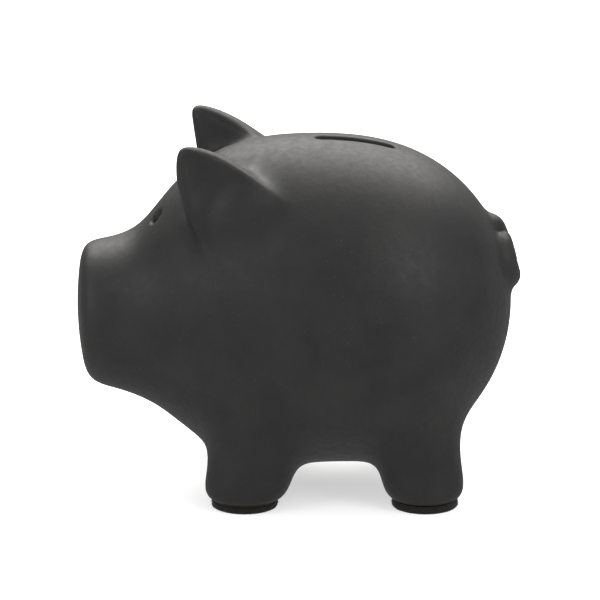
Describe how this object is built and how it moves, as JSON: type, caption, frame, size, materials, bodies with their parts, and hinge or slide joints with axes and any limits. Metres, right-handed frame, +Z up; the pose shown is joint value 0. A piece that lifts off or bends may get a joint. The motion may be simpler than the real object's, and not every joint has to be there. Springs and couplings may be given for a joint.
{
  "type": "piggy bank",
  "caption": "Matte black ceramic coin bank shaped like a pig, with a slot in its back, a soft stopper in its belly and felt pads under its feet.",
  "frame": {"origin": "middle of the bounding box on the surface that the bank stands on, at the underside of the felt pads", "axes": "+X towards the tail, -X towards the snout, +Z up, -Y the pig's left side"},
  "size_m": [0.171, 0.1224, 0.1435],
  "materials": {
    "ceramic": "matte black, unglazed look",
    "rubber": "soft matte",
    "felt": "pressed brown-black felt",
    "adhesive": "thin dark acrylic film"
  },
  "bodies": {
    "bank": {"ceramic_body": "ceramic", "felt_pad_front_left": "felt", "felt_pad_front_right": "felt", "felt_pad_rear_left": "felt", "felt_pad_rear_right": "felt", "pad_adhesive_front_left": "adhesive", "pad_adhesive_front_right": "adhesive", "pad_adhesive_rear_left": "adhesive", "pad_adhesive_rear_right": "adhesive"},
    "stopper": {"belly_stopper": "rubber"}
  },
  "joints": [
    {"name": "stopper_pull", "type": "slide", "parent": "bank", "child": "stopper", "axis": [0, 0, -1], "range_m": [0, 0.045]}
  ]
}
